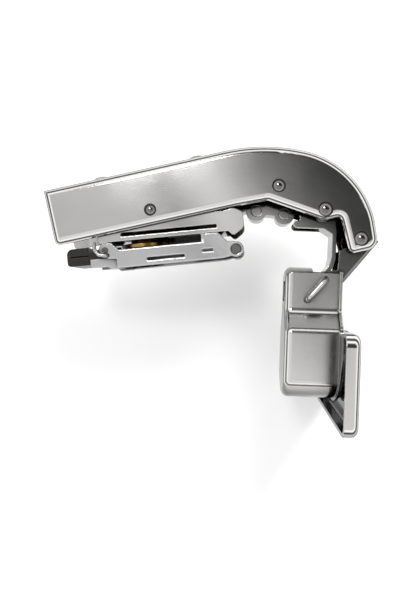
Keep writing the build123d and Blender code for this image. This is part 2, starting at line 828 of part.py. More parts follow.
# Clip plate: a channel open towards the cabinet, with tail arms, ears, a peg and front hooks
clip_inside = clip_half_width - clip_sheet
with BuildPart() as clip_plate:
    with BuildSketch(base_plane):
        with Locations(((clip_rear + clip_front) / 2, clip_top - clip_sheet / 2)):
            Rectangle(clip_front - clip_rear, clip_sheet)
    extrude(amount=clip_half_width, both=True)
    with BuildSketch(base_plane.offset(clip_inside)):
        with BuildLine():
            Polyline(
                (clip_rear, 0),
                (clip_rear, 2.4),
                (lever_pin[0] + 0.8, 2.6),
                (lever_pin[0] - 1.2, 3.2),
                (lever_pin[0] - 1.9, lever_pin[1]),
                (lever_pin[0] - 0.9, ear_top - 0.1),
                (lever_pin[0] + 1.6, ear_top - 0.1),
                (clip_rear + 0.8, clip_top),
                (ear_rear, clip_top),
                (ear_rear + 0.3, ear_top),
                (ear_front, ear_top),
                (clip_front + 0.8, clip_top - 0.4),
                (hook_pin[0], hook_pin[1] + 2.0),
                (hook_pin[0], hook_pin[1] - 1.4),
                (clip_front - 0.6, 0),
                close=True,
            )
        make_face()
        with Locations(hook_pin):
            Circle(hook_pin_radius + 0.7)
        with Locations(hook_pin):
            Circle(hook_pin_radius, mode=Mode.SUBTRACT)
        with Locations(lever_pin):
            Circle(lever_pin_radius, mode=Mode.SUBTRACT)
        with Locations(wire_line[-1]):
            Circle(wire_radius, mode=Mode.SUBTRACT)
        with Locations((2.6, 1.6)):
            Rectangle(9.8, 0.9, mode=Mode.SUBTRACT)
        with Locations((13.6, 2.4)):
            Rectangle(2.8, 0.8, mode=Mode.SUBTRACT)
    extrude(amount=clip_sheet)
    mirror(about=Plane.XY)
    with BuildSketch(upright(base_plane, (cam_centre, clip_top))):
        with Locations((spiral_peg_radius, 0)):
            Circle(peg_radius)
    extrude(amount=cam_floor + spiral_depth - clip_top - 0.15)
clip_plate.part.label = "clip_plate"
export_step(clip_plate.part, "parts/clip_plate.step")

# Pins across the clip plate
with BuildPart() as front_hook_pin:
    with BuildSketch(base_plane):
        with Locations(hook_pin):
            Circle(hook_pin_radius)
    extrude(amount=clip_half_width + 0.6, both=True)
    chamfer(front_hook_pin.edges().filter_by(GeomType.CIRCLE), 0.2)
front_hook_pin.part.label = "front_hook_pin"
export_step(front_hook_pin.part, "parts/front_hook_pin.step")

with BuildPart() as lever_axle:
    with BuildSketch(base_plane):
        with Locations(lever_pin):
            Circle(lever_pin_radius)
    extrude(amount=clip_half_width + 0.2, both=True)
lever_axle.part.label = "lever_axle"
export_step(lever_axle.part, "parts/lever_axle.step")

# Bent return wires, one beside each wall, their feet turned in to the clip plate's tail arms
with BuildPart() as return_wires:
    with BuildLine() as run:
        FilletPolyline(
            *[wire_point(u, v, wire_side) for u, v in wire_line],
            wire_point(wire_line[-1][0], wire_line[-1][1], clip_inside + 0.2),
            radius=0.6,
        )
    with BuildSketch(Plane(origin=run.line @ 0, z_dir=run.line % 0)):
        Circle(wire_radius)
    sweep()
    mirror(about=Plane.XY)
return_wires.part.label = "return_wires"
export_step(return_wires.part, "parts/return_wires.step")

# Release lever: a ribbed grip with two arms on the axle
with BuildPart() as release_lever:
    with BuildSketch(base_plane) as grip:
        with Locations(((grip_rear + grip_front) / 2, (grip_top + grip_bottom) / 2)):
            Rectangle(grip_front - grip_rear, grip_top - grip_bottom)
        fillet(corner(grip, (grip_rear, grip_top)), 1.6)
        fillet(corner(grip, (grip_rear, grip_bottom)), 0.9)
    extrude(amount=lever_half_width, both=True)
    for level in (lever_half_width, -lever_half_width):
        with BuildSketch(base_plane.offset(level)):
            with Locations(((grip_rear + grip_front) / 2 + 1, grip_crease)):
                Rectangle(grip_front - grip_rear, 0.4)
        extrude(amount=-0.4 if level > 0 else 0.4, mode=Mode.SUBTRACT)
    with BuildSketch(base_plane.offset(lever_half_width - 1)):
        with BuildLine():
            Polyline(
                (grip_front, latch_top),
                (grip_front, latch_top + 1.9),
                (lever_pin[0] - 1.0, lever_pin[1] + 0.6),
                (lever_pin[0] + 1.0, lever_pin[1]),
                (lever_pin[0] + 1.2, latch_top),
                close=True,
            )
        make_face()
        with Locations(lever_pin):
            Circle(lever_pin_radius + 0.55)
        with Locations(lever_pin):
            Circle(lever_pin_radius + running_gap, mode=Mode.SUBTRACT)
    extrude(amount=1)
    mirror(about=Plane.XY)
release_lever.part.label = "release_lever"
export_step(release_lever.part, "parts/release_lever.step")

# Rear latch: a pale channel under the lever's arms, its front corners drawn out as hooks
with BuildPart() as rear_latch:
    with BuildSketch(base_plane) as shoe:
        with BuildLine():
            Polyline(
                (grip_front + 0.2, 0.6),
                (grip_front + 0.2, latch_top),
                (latch_front - 1.6, latch_top),
                (latch_front, 1.2),
                (latch_front, -0.2),
                (latch_front - 3.4, -0.2),
                (latch_front - 4.4, 0.6),
                close=True,
            )
        make_face()
    extrude(amount=lever_half_width, both=True)
    with BuildSketch(base_plane):
        with Locations((latch_front, latch_top - 3.4)):
            Rectangle(4 * lever_half_width, 4.8)
    extrude(amount=lever_half_width - 1, both=True, mode=Mode.SUBTRACT)
rear_latch.part.label = "rear_latch"
export_step(rear_latch.part, "parts/rear_latch.step")

# Cup: a drawn pot, narrow above and wide below, with its round lip and a raised neck
with BuildPart() as cup:
    add(pot(0, cup_bottom, cup_bottom_bend))
    with BuildSketch(cup_plane(rim_level)):
        with Locations((cup_centre, 0)):
            Circle(rim_radius)
        with Locations((neck_top + rim_radius, 0)):
            Rectangle(2 * rim_radius, 4 * rim_radius, mode=Mode.SUBTRACT)
        add(pot_outline(-lip_width))
    extrude(amount=rim_sheet)
    with BuildSketch(cup_plane(rim_level + rim_sheet)):
        add(pot_outline(0))
        with Locations((neck_top + rim_radius, 0)):
            Rectangle(2 * rim_radius, 4 * rim_radius, mode=Mode.SUBTRACT)
    extrude(amount=cup_mouth - rim_level - rim_sheet)
    add(pot(cup_wall, cup_bottom + cup_wall, cup_bottom_bend - cup_wall), mode=Mode.SUBTRACT)
    with BuildSketch(cup_plane(rim_level)):
        add(pot_outline(cup_wall))
    extrude(amount=cup_mouth - rim_level, mode=Mode.SUBTRACT)
    with BuildSketch(cup_plane(notch_left)):
        with Locations((cup_centre + cup_radius, 0)):
            Rectangle(cup_radius, 2 * (outer_link_half_width + side_gap))
    extrude(amount=cup_mouth - notch_left, mode=Mode.SUBTRACT)
    with BuildSketch(cup_plane(cup_bottom)):
        with Locations((window_centre, 0)):
            Rectangle(window_length, window_width)
    extrude(amount=cup_wall, mode=Mode.SUBTRACT)
    with BuildSketch():
        with Locations(P5, P6):
            Circle(staple_radius)
    extrude(amount=lower_flat, both=True, mode=Mode.SUBTRACT)
cup.part.label = "cup"
export_step(cup.part, "parts/cup.step")

# Flange: a stamped tray round the cup's lower half with its rim turned in, and two screw holes
with BuildPart() as flange:
    with BuildSketch(cup_plane(-flange_rim)) as tray:
        with Locations(((flange_top + flange_bottom) / 2, 0)):
            RectangleRounded(flange_top - flange_bottom, 2 * flange_half_length, flange_corner)
    extrude(amount=flange_rim)
    face_edges = flange.edges().group_by(Axis.X)[-1]
    fillet(face_edges, flange_bend)
    with BuildPart(mode=Mode.SUBTRACT):
        with BuildSketch(cup_plane(-flange_rim)):
            with Locations(((flange_top + flange_bottom) / 2, 0)):
                RectangleRounded(
                    flange_top - flange_bottom - 2 * flange_sheet,
                    2 * (flange_half_length - flange_sheet),
                    flange_corner - flange_sheet,
                )
        hollow_tray = extrude(amount=flange_rim - flange_sheet)
        fillet(hollow_tray.edges().group_by(Axis.X)[-1], flange_bend - flange_sheet)
    with BuildSketch(cup_plane(-flange_rim)):
        with Locations((cup_centre, 0)):
            Circle(rim_radius + 0.2)
    extrude(amount=flange_rim - flange_sheet, mode=Mode.SUBTRACT)
    with BuildSketch(cup_plane(-flange_sheet)):
        add(pot_outline(cup_wall))
        with Locations((cup_centre + cup_radius, 0)):
            Rectangle(2 * cup_radius, 2 * upper_flat)
        with Locations((0, -screw_spacing / 2), (0, screw_spacing / 2)):
            Circle(screw_hole_radius)
    extrude(amount=flange_sheet, mode=Mode.SUBTRACT)
flange.part.label = "flange"
export_step(flange.part, "parts/flange.step")

# Staples: bent pins through the cup's upper walls that carry the two links
for name, hand in (("near_staple", 1), ("far_staple", -1)):
    with BuildPart() as staple:
        with BuildLine() as run:
            bridge = upper_flat + staple_rise
            FilletPolyline(
                (P5[0], P5[1], hand * (outer_link_half_width - link_sheet - 0.05)),
                (P5[0], P5[1], hand * bridge),
                (P6[0], P6[1], hand * bridge),
                (P6[0], P6[1], hand * (inner_link_half_width - link_sheet - 0.1)),
                radius=staple_bend,
            )
        with BuildSketch(Plane(origin=run.line @ 0, z_dir=run.line % 0)):
            Circle(staple_radius)
        sweep()
    staple.part.label = name
    export_step(staple.part, "parts/" + name + ".step")
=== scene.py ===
"""Finishes, studio and small turned details for a concealed soft-close cabinet hinge.

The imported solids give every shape; this file gives them their plated, brassed and
moulded finishes, adds the threads of the two adjusting screws, and lights and frames
the hinge as it lies on a pale table.
"""

import json
import logging
import math
from collections.abc import Sequence
from dataclasses import dataclass
from enum import Enum

import bpy
import numpy as np
from mathutils import Matrix, Vector

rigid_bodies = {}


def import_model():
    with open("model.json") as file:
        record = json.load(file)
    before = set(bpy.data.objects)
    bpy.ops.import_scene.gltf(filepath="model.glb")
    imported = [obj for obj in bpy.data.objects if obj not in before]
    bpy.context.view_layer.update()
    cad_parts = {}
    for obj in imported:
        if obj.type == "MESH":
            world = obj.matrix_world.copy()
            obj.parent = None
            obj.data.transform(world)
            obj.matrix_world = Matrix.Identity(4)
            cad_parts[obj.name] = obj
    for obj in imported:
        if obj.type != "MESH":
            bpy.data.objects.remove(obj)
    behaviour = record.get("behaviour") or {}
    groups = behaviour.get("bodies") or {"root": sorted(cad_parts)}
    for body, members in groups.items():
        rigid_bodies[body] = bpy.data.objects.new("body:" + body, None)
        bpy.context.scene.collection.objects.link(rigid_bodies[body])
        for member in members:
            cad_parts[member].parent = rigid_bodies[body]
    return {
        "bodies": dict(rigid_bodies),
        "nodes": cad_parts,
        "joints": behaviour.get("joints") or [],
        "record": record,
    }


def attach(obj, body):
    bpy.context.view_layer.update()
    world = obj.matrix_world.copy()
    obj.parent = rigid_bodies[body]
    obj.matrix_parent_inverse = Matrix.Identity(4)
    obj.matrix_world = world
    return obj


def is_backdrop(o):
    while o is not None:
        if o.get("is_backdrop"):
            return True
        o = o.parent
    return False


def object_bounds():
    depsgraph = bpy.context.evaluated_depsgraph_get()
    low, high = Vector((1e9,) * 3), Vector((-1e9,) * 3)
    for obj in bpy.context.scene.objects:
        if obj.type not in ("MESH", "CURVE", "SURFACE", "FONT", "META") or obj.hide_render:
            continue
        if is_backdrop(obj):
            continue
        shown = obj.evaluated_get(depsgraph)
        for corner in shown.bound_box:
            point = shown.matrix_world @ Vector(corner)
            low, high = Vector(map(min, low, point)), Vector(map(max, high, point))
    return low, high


log = logging.getLogger("hinge")

MM = 0.001

Tree = bpy.types.NodeTree
Socket = bpy.types.NodeSocket
Corners = Sequence[Sequence[float]]


class Sheen(Enum):
    """How a finish sends light back."""

    METAL = 1.0
    MOULDED = 0.0


@dataclass(frozen=True)
class Finish:
    """One finish of the hinge, with the numbers that its material is built from.

    Attributes:
        name: Material name.
        colour: Clean colour of the surface, linear red, green and blue.
        worn: Colour along rubbed edges.
        roughness: Mean roughness.
        spread: How far the grain moves the roughness up and down.
        sheen: Metal or moulded plastic.
        edge: Radius over which edges catch the light, in metres.
        wear: How strongly rubbed edges show, 0 to 1.
        grain: Noise cells per metre of the surface grain.
        relief: Height of the grain, in metres.
        stretch: Scale of the grain along X, Y and Z, so that brushing shows a direction.
        dust: How much fine dust lies on faces that look up, 0 to 1.
        edge_on_shade: Painted shade: brightness left in the colour where a face is seen edge on, 0 to 1.
    """

    name: str
    colour: tuple[float, float, float]
    worn: tuple[float, float, float]
    roughness: float
    spread: float
    sheen: Sheen
    edge: float = 0.25 * MM
    wear: float = 0.5
    grain: float = 900.0
    relief: float = 0.004 * MM
    stretch: tuple[float, float, float] = (1.0, 1.0, 1.0)
    dust: float = 0.03
    edge_on_shade: float = 0.08


FINISHES: dict[str, Finish] = {
    "nickel": Finish(
        "nickel_satin", (0.73, 0.72, 0.705), (0.86, 0.85, 0.83), 0.11, 0.04, Sheen.METAL,
        stretch=(0.35, 1.0, 1.0), relief=0.004 * MM,
    ),
    "dark_nickel": Finish(
        "nickel_dark", (0.31, 0.305, 0.30), (0.68, 0.67, 0.66), 0.18, 0.06, Sheen.METAL,
    ),
    "nickel_cup": Finish(
        "nickel_drawn", (0.70, 0.69, 0.675), (0.86, 0.85, 0.83), 0.17, 0.05, Sheen.METAL,
        edge=0.35 * MM, grain=900.0, relief=0.006 * MM,
    ),
    # Rivet heads: steel, with the colour kept darker than the steel's own as painted shade for the dark
    # reflections round the domes.
    "rivet_steel": Finish(
        "rivet_steel_painted_dark", (0.20, 0.195, 0.19), (0.62, 0.61, 0.59), 0.12, 0.04, Sheen.METAL,
        edge=0.12 * MM,
    ),
    "dark_steel": Finish(
        "blackened_steel", (0.035, 0.034, 0.033), (0.22, 0.21, 0.20), 0.34, 0.10, Sheen.METAL,
        wear=0.8, grain=1400.0,
    ),
    "bright_zinc": Finish(
        "zinc_bright", (0.70, 0.70, 0.70), (0.90, 0.90, 0.90), 0.13, 0.05, Sheen.METAL,
        edge=0.45 * MM, grain=320.0, relief=0.035 * MM,
    ),
    "brass": Finish(
        "cam_brass", (0.95, 0.62, 0.17), (1.0, 0.78, 0.38), 0.25, 0.08, Sheen.METAL,
    ),
    "spring_wire": Finish(
        "drawn_wire", (0.60, 0.59, 0.575), (0.75, 0.74, 0.72), 0.18, 0.05, Sheen.METAL,
        edge=0.0,
    ),
    "damper_body": Finish(
        "damper_plastic", (0.030, 0.030, 0.032), (0.06, 0.06, 0.062), 0.42, 0.06, Sheen.MOULDED,
        grain=1600.0, relief=0.008 * MM,
    ),
}


def socket(group: Tree, name: str, kind: str, value: object = None) -> None:
    """Add one named input to a node group.

    Args:
        group: Node group that gets the input.
        name: Name shown on the socket.
        kind: Blender's socket type, such as NodeSocketFloat.
        value: Default value, or None to keep Blender's own.
    """
    made = group.interface.new_socket(name=name, in_out="INPUT", socket_type=kind)
    if value is not None:
        made.default_value = value


def feed(tree: Tree, source: Socket | float, target: Socket) -> None:
    """Link a socket to an input, or set the input to a number.

    Args:
        tree: Node tree that holds both.
        source: Socket to link, or the number.
        target: Input that takes it.
    """
    if isinstance(source, bpy.types.NodeSocket):
        tree.links.new(source, target)
    else:
        target.default_value = source


def reckon(tree: Tree, operation: str, *terms: Socket | float) -> Socket:
    """Place a sum of two or three terms.

    Args:
        tree: Node tree that gets the node.
        operation: Blender's name of the sum, such as MULTIPLY.
        terms: Sockets or numbers, in the order of the node's inputs.

    Returns:
        The socket that gives the result.
    """
    node = tree.nodes.new("ShaderNodeMath")
    node.operation = operation
    for term, target in zip(terms, node.inputs):
        feed(tree, term, target)
    return node.outputs[0]


def ramp(
    tree: Tree,
    value: Socket,
    span: tuple[float, float],
    result: tuple[Socket | float, float] = (0.0, 1.0),
    smooth: bool = False,
) -> Socket:
    """Carry a value from one span to another and hold it at both ends.

    Args:
        tree: Node tree that gets the node.
        value: Socket that gives the value.
        span: Values at which the result starts and ends.
        result: Results at the two ends.
        smooth: Whether the result eases in and out.

    Returns:
        The socket that gives the result.
    """
    node = tree.nodes.new("ShaderNodeMapRange")
    if smooth:
        node.interpolation_type = "SMOOTHSTEP"
    tree.links.new(value, node.inputs["Value"])
    node.inputs["From Min"].default_value, node.inputs["From Max"].default_value = span
    feed(tree, result[0], node.inputs["To Min"])
    feed(tree, result[1], node.inputs["To Max"])
    return node.outputs["Result"]


def blend(tree: Tree, share: Socket, first: Socket | float, second: Socket | float) -> Socket:
    """Mix two values.

    Args:
        tree: Node tree that gets the node.
        share: Socket that gives the share of the second value.
        first: Value at share 0.
        second: Value at share 1.

    Returns:
        The socket that gives the mixed value.
    """
    node = tree.nodes.new("ShaderNodeMix")
    tree.links.new(share, node.inputs["Factor"])
    feed(tree, first, node.inputs["A"])
    feed(tree, second, node.inputs["B"])
    return node.outputs["Result"]


class EffectGroups:
    """Shader node groups that several finishes share: grain, rubbed edges, dust and painted shade in each
    gap.

    Attributes:
        BROAD_SCALE: Cells of the broad noise for each cell of the fine noise.
        FINE_SHARE: Share of the fine noise in the mottle.
        EDGE_LEAN: Agreement of rounded and true normal, from a flat face to a rubbed edge.
        SPECK_SCALE: Cells of the dust's noise per metre.
        SPECK_FADE: Noise values over which a speck of dust fades in.
        GAP_REACH: How far a surface looks for others that shut it in, in metres.
        GAP_SKY: Open share of a surface's surroundings, from a deep gap to a free face.
        GAP_FLOOR: Brightness that the painted shade leaves in a deep gap.
    """

    BROAD_SCALE = 0.12
    FINE_SHARE = 0.35
    EDGE_LEAN = (0.995, 0.75)
    SPECK_SCALE = 2600.0
    SPECK_FADE = (0.5, 0.75)
    GAP_REACH = 13 * MM
    GAP_SKY = (0.32, 0.80)
    GAP_FLOOR = 0.05

    def __init__(self) -> None:
        """Build each group once."""
        self.grain = self._grain()
        self.edges = self._edges()
        self.dust = self._dust()
        self.gap_shade = self._gap_shade()

    def _new(self, name: str, outputs: tuple[tuple[str, str], ...]) -> Tree:
        """Make an empty group with its outputs.

        Args:
            name: Name of the group.
            outputs: Pairs of socket name and socket type.

        Returns:
            The new node group.
        """
        group = bpy.data.node_groups.new(name, "ShaderNodeTree")
        for label, kind in outputs:
            group.interface.new_socket(name=label, in_out="OUTPUT", socket_type=kind)
        return group

    def _grain(self) -> Tree:
        """Two layers of noise in the object's own coordinates.

        Returns:
            Group with a mottle from 0 to 1 and a fine height.
        """
        group = self._new("plating_grain", (("Mottle", "NodeSocketFloat"), ("Height", "NodeSocketFloat")))
        socket(group, "Scale", "NodeSocketFloat", 900.0)
        socket(group, "Stretch", "NodeSocketVector", (1.0, 1.0, 1.0))
        nodes, links = group.nodes, group.links
        start, end = nodes.new("NodeGroupInput"), nodes.new("NodeGroupOutput")
        place = nodes.new("ShaderNodeTexCoord")
        drawn_out = nodes.new("ShaderNodeVectorMath")
        drawn_out.operation = "MULTIPLY"
        links.new(place.outputs["Object"], drawn_out.inputs[0])
        links.new(start.outputs["Stretch"], drawn_out.inputs[1])
        fine = nodes.new("ShaderNodeTexNoise")
        fine.inputs["Detail"].default_value = 3.0
        links.new(drawn_out.outputs[0], fine.inputs["Vector"])
        links.new(start.outputs["Scale"], fine.inputs["Scale"])
        broad = nodes.new("ShaderNodeTexNoise")
        broad.inputs["Detail"].default_value = 2.0
        links.new(place.outputs["Object"], broad.inputs["Vector"])
        broad_scale = reckon(group, "MULTIPLY", start.outputs["Scale"], self.BROAD_SCALE)
        links.new(broad_scale, broad.inputs["Scale"])
        mottle = nodes.new("ShaderNodeMix")
        mottle.inputs["Factor"].default_value = self.FINE_SHARE
        links.new(broad.outputs["Fac"], mottle.inputs["A"])
        links.new(fine.outputs["Fac"], mottle.inputs["B"])
        links.new(mottle.outputs["Result"], end.inputs["Mottle"])
        links.new(fine.outputs["Fac"], end.inputs["Height"])
        return group

    def _edges(self) -> Tree:
        """Rounded normal at edges, and a mask of how far it leans from the flat face.

        Returns:
            Group with a mask from 0 to 1 and a normal.
        """
        group = self._new("rubbed_edges", (("Mask", "NodeSocketFloat"), ("Normal", "NodeSocketVector")))
        socket(group, "Radius", "NodeSocketFloat", 0.3 * MM)
        socket(group, "Wear", "NodeSocketFloat", 0.5)
        nodes, links = group.nodes, group.links
        start, end = nodes.new("NodeGroupInput"), nodes.new("NodeGroupOutput")
        rounded = nodes.new("ShaderNodeBevel")
        rounded.samples = 6
        face = nodes.new("ShaderNodeNewGeometry")
        lean = nodes.new("ShaderNodeVectorMath")
        lean.operation = "DOT_PRODUCT"
        links.new(start.outputs["Radius"], rounded.inputs["Radius"])
        links.new(rounded.outputs["Normal"], lean.inputs[0])
        links.new(face.outputs["Normal"], lean.inputs[1])
        rubbed = ramp(group, lean.outputs["Value"], self.EDGE_LEAN)
        links.new(reckon(group, "MULTIPLY", rubbed, start.outputs["Wear"]), end.inputs["Mask"])
        links.new(rounded.outputs["Normal"], end.inputs["Normal"])
        return group

    def _dust(self) -> Tree:
        """Speckle that lies only on faces whose normal points up the Z axis.

        Returns:
            Group with a mask from 0 to 1.
        """
        group = self._new("settled_dust", (("Mask", "NodeSocketFloat"),))
        socket(group, "Amount", "NodeSocketFloat", 0.1)
        nodes, links = group.nodes, group.links
        start, end = nodes.new("NodeGroupInput"), nodes.new("NodeGroupOutput")
        place = nodes.new("ShaderNodeTexCoord")
        face = nodes.new("ShaderNodeNewGeometry")
        split = nodes.new("ShaderNodeSeparateXYZ")
        speck = nodes.new("ShaderNodeTexNoise")
        speck.inputs["Scale"].default_value = self.SPECK_SCALE
        speck.inputs["Detail"].default_value = 4.0
        links.new(place.outputs["Object"], speck.inputs["Vector"])
        links.new(face.outputs["Normal"], split.inputs[0])
        sharp = ramp(group, speck.outputs["Fac"], self.SPECK_FADE)
        upward = reckon(group, "MULTIPLY", sharp, split.outputs["Z"])
        amount = reckon(group, "MULTIPLY", upward, start.outputs["Amount"])
        amount.node.use_clamp = True
        links.new(amount, end.inputs["Mask"])
        return group

    def _gap_shade(self) -> Tree:
        """Painted shade deep inside each gap, where little light comes: ambient occlusion darkens the
        colour.

        Returns:
            Group with a brightness from its floor to 1.
        """
        group = self._new("painted_gap_shade", (("Brightness", "NodeSocketFloat"),))
        socket(group, "Reach", "NodeSocketFloat", self.GAP_REACH)
        socket(group, "Floor", "NodeSocketFloat", self.GAP_FLOOR)
        nodes, links = group.nodes, group.links
        start, end = nodes.new("NodeGroupInput"), nodes.new("NodeGroupOutput")
        # Painted shade: ambient occlusion darkens the colour where a surface is shut in.
        open_sky = nodes.new("ShaderNodeAmbientOcclusion")
        open_sky.samples = 8
        links.new(start.outputs["Reach"], open_sky.inputs["Distance"])
        brightness = ramp(group, open_sky.outputs["AO"], self.GAP_SKY, (start.outputs["Floor"], 1.0))
        links.new(brightness, end.inputs["Brightness"])
        return group


class FinishShop:
    """Makes one material for each finish and keeps it for every piece that asks.

    Attributes:
        MOTTLE_LOW: Share of the clean colour left in the mottle's dark patches.
        DUST_COLOUR: Colour of settled dust.
        LEAN_BLEND: Weight of the view in how far a face counts as turned away.
        LEAN_SPAN: Turn away from the view over which the painted edge-on shade dims a face.
        BUMP_STRENGTH: Strength of the grain's relief.
    """

    MOTTLE_LOW = 0.9
    DUST_COLOUR = (0.7, 0.69, 0.67)
    LEAN_BLEND = 0.5
    LEAN_SPAN = (0.30, 0.75)
    BUMP_STRENGTH = 0.6

    def __init__(self, groups: EffectGroups) -> None:
        """Keep the shared groups.

        Args:
            groups: Node groups that the materials place.
        """
        self.groups = groups
        self.made: dict[str, bpy.types.Material] = {}

    def material(self, slot: str) -> bpy.types.Material:
        """Give the material of a record slot, building it on first use.

        Args:
            slot: Material slot of the record.

        Returns:
            The finished material.
        """
        if slot not in self.made:
            self.made[slot] = self._build(FINISHES[slot])
        return self.made[slot]

    def _group(self, tree: Tree, group: Tree) -> bpy.types.Node:
        """Place a shared group in a material's tree.

        Args:
            tree: Node tree of the material.
            group: Group to place.

        Returns:
            The group node.
        """
        node = tree.nodes.new("ShaderNodeGroup")
        node.node_tree = group
        return node

    def _tint(self, tree: Tree, share: Socket, first: Socket | tuple, second: tuple) -> Socket:
        """Mix a colour towards a fixed one.

        Args:
            tree: Node tree of the material.
            share: Socket that gives the share of the second colour.
            first: Colour at share 0, fixed or from a socket.
            second: Colour at share 1.

        Returns:
            The socket that gives the mixed colour.
        """
        node = tree.nodes.new("ShaderNodeMix")
        node.data_type = "RGBA"
        tree.links.new(share, node.inputs[0])
        feed(tree, (*first, 1.0) if isinstance(first, tuple) else first, node.inputs[6])
        node.inputs[7].default_value = (*second, 1.0)
        return node.outputs[2]

    def _build(self, finish: Finish) -> bpy.types.Material:
        """Build a material: mottled colour, rubbed edges, fine dust, grain relief.

        Args:
            finish: Numbers of the finish.

        Returns:
            The material.
        """
        material = bpy.data.materials.new(finish.name)
        material.use_nodes = True
        tree = material.node_tree
        tree.nodes.clear()
        links = tree.links
        out = tree.nodes.new("ShaderNodeOutputMaterial")
        shader = tree.nodes.new("ShaderNodeBsdfPrincipled")
        shader.inputs["Metallic"].default_value = finish.sheen.value
        links.new(shader.outputs["BSDF"], out.inputs["Surface"])

        grain = self._group(tree, self.groups.grain)
        grain.inputs["Scale"].default_value = finish.grain
        grain.inputs["Stretch"].default_value = finish.stretch
        edges = self._group(tree, self.groups.edges)
        edges.inputs["Radius"].default_value = finish.edge
        edges.inputs["Wear"].default_value = finish.wear
        links.new(self._colour(tree, finish, grain, edges), shader.inputs["Base Color"])
        low, high = finish.roughness - finish.spread, finish.roughness + finish.spread
        rough = ramp(tree, grain.outputs["Mottle"], (0.0, 1.0), (low, high))
        links.new(rough, shader.inputs["Roughness"])

        bump = tree.nodes.new("ShaderNodeBump")
        bump.inputs["Distance"].default_value = finish.relief
        bump.inputs["Strength"].default_value = self.BUMP_STRENGTH
        links.new(grain.outputs["Height"], bump.inputs["Height"])
        links.new(edges.outputs["Normal"], bump.inputs["Normal"])
        links.new(bump.outputs["Normal"], shader.inputs["Normal"])
        return material

    def _colour(self, tree: Tree, finish: Finish, grain: bpy.types.Node, edges: bpy.types.Node) -> Socket:
        """Colour of a finish: mottled, rubbed at its edges, dusted, and with painted shade that darkens it
        in each gap and at a slant.

        Args:
            tree: Node tree of the material.
            finish: Numbers of the finish.
            grain: Node of the grain group.
            edges: Node of the rubbed edges group.

        Returns:
            The socket that gives the colour.
        """
        dust = self._group(tree, self.groups.dust)
        dust.inputs["Amount"].default_value = finish.dust
        # Painted shade: ambient occlusion darkens the colour deep in each gap.
        gap_shade = self._group(tree, self.groups.gap_shade)
        darker = tuple(self.MOTTLE_LOW * c for c in finish.colour)
        mottled = self._tint(tree, grain.outputs["Mottle"], darker, finish.colour)
        rubbed = self._tint(tree, edges.outputs["Mask"], mottled, finish.worn)
        dusted = self._tint(tree, dust.outputs["Mask"], rubbed, self.DUST_COLOUR)
        # Painted shade: the colour darkens where a face turns edge on to the view.
        lean = tree.nodes.new("ShaderNodeLayerWeight")
        lean.inputs["Blend"].default_value = self.LEAN_BLEND
        tree.links.new(edges.outputs["Normal"], lean.inputs["Normal"])
        shade = ramp(tree, lean.outputs["Facing"], self.LEAN_SPAN, (1.0, finish.edge_on_shade), smooth=True)
        dimmed = tree.nodes.new("ShaderNodeVectorMath")
        dimmed.operation = "SCALE"
        tree.links.new(dusted, dimmed.inputs[0])
        brightness = reckon(tree, "MULTIPLY", gap_shade.outputs["Brightness"], shade)
        tree.links.new(brightness, dimmed.inputs["Scale"])
        return dimmed.outputs[0]


